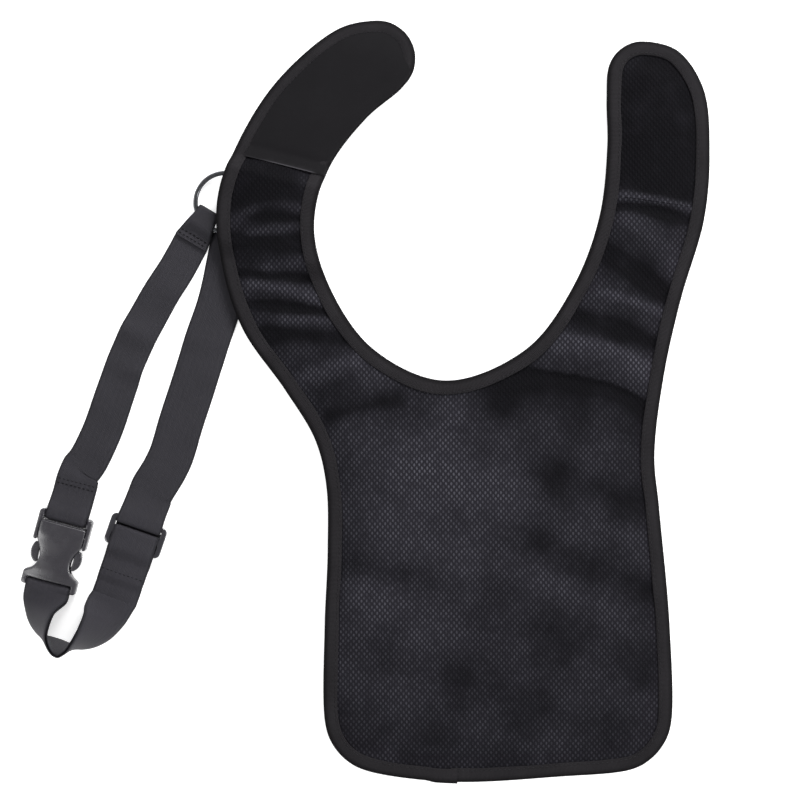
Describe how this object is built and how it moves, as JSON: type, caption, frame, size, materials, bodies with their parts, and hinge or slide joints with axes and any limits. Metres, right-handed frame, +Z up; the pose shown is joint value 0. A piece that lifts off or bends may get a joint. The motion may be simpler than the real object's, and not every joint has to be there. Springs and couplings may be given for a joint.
{
  "type": "bib shoulder harness strap",
  "caption": "Bib-shaped padded shoulder harness with mesh lining, taped edge, hook-and-loop tab ends and a webbing side strap with ring, slider and side-release buckle.",
  "frame": {"origin": "bottom centre of the object's box, on the surface the harness lies on", "axes": "+Y from the bib towards the shoulder tabs, +X to the right, +Z up, out of the mesh-lined face"},
  "size_m": [0.4573, 0.5063, 0.0313],
  "materials": {
    "shell_cloth": "plain woven nylon",
    "mesh_cloth": "warp-knit air mesh with staggered small openings",
    "loop_cloth": "brushed loop cloth, smooth",
    "hook_tape": "hook tape",
    "foam": "soft foam sheet",
    "edge_tape": "folded polyester binding tape, stitched",
    "webbing": "flat woven webbing with a fine herringbone rib",
    "buckle_plastic": "satin moulded plastic",
    "slider_plastic": "smooth moulded plastic",
    "ring_steel": "black-plated steel wire"
  },
  "bodies": {
    "harness": {"panel_shell": "shell_cloth", "panel_foam": "foam", "panel_mesh_lining": "mesh_cloth", "edge_tape_neckline": "edge_tape", "edge_tape_left_side": "edge_tape", "edge_tape_right_side": "edge_tape", "ring_anchor_loop": "webbing", "strap_upper": "webbing", "strap_long": "webbing", "strap_sewn_end": "webbing", "strap_turned_loop": "webbing", "buckle_male_base": "buckle_plastic"},
    "left_tab": {"left_tab_shell": "shell_cloth", "left_tab_foam": "foam", "left_tab_loop_patch": "loop_cloth", "left_tab_edge_tape": "edge_tape"},
    "right_tab": {"right_tab_shell": "shell_cloth", "right_tab_foam": "foam", "right_tab_mesh_lining": "mesh_cloth", "right_tab_edge_tape": "edge_tape", "right_tab_hook_patch": "hook_tape"},
    "ring": {"ring": "ring_steel"},
    "prong_left": {"buckle_prong_left": "buckle_plastic"},
    "prong_right": {"buckle_prong_right": "buckle_plastic"},
    "female": {"buckle_female": "buckle_plastic"},
    "slider": {"tri_glide": "slider_plastic"}
  },
  "joints": [
    {"name": "left_tab_fold", "type": "hinge", "parent": "harness", "child": "left_tab", "pos_m": [-0.057, 0.15875, 0.0073], "axis": [0.9701, -0.2425, 0], "range_deg": [0, 120]},
    {"name": "right_tab_fold", "type": "hinge", "parent": "harness", "child": "right_tab", "pos_m": [0.193, 0.1325, 0.0073], "axis": [0.9897, -0.1435, 0], "range_deg": [0, 120]},
    {"name": "ring_spin", "type": "hinge", "parent": "harness", "child": "ring", "pos_m": [-0.0937, 0.1323, 0.0032], "axis": [0, 0, 1], "continuous": true},
    {"name": "buckle_release", "type": "slide", "parent": "harness", "child": "female", "axis": [-0.2588, -0.9659, 0], "range_m": [0, 0.026], "deforming": ["strap_turned_loop", "buckle_prong_left", "buckle_prong_right"]},
    {"name": "prong_left_pinch", "type": "hinge", "parent": "harness", "child": "prong_left", "pos_m": [-0.21352, -0.08509, 0.005], "axis": [0, 0, 1], "range_deg": [0, 12], "stiffness_Nm_per_rad": 0.05},
    {"name": "prong_right_pinch", "type": "hinge", "parent": "harness", "child": "prong_right", "pos_m": [-0.18957, -0.09151, 0.005], "axis": [0, 0, -1], "range_deg": [0, 12], "stiffness_Nm_per_rad": 0.05},
    {"name": "slider_travel", "type": "slide", "parent": "harness", "child": "slider", "axis": [0.3256, 0.9455, 0], "range_m": [-0.012, 0.02], "deforming": ["strap_long", "strap_sewn_end"]}
  ]
}
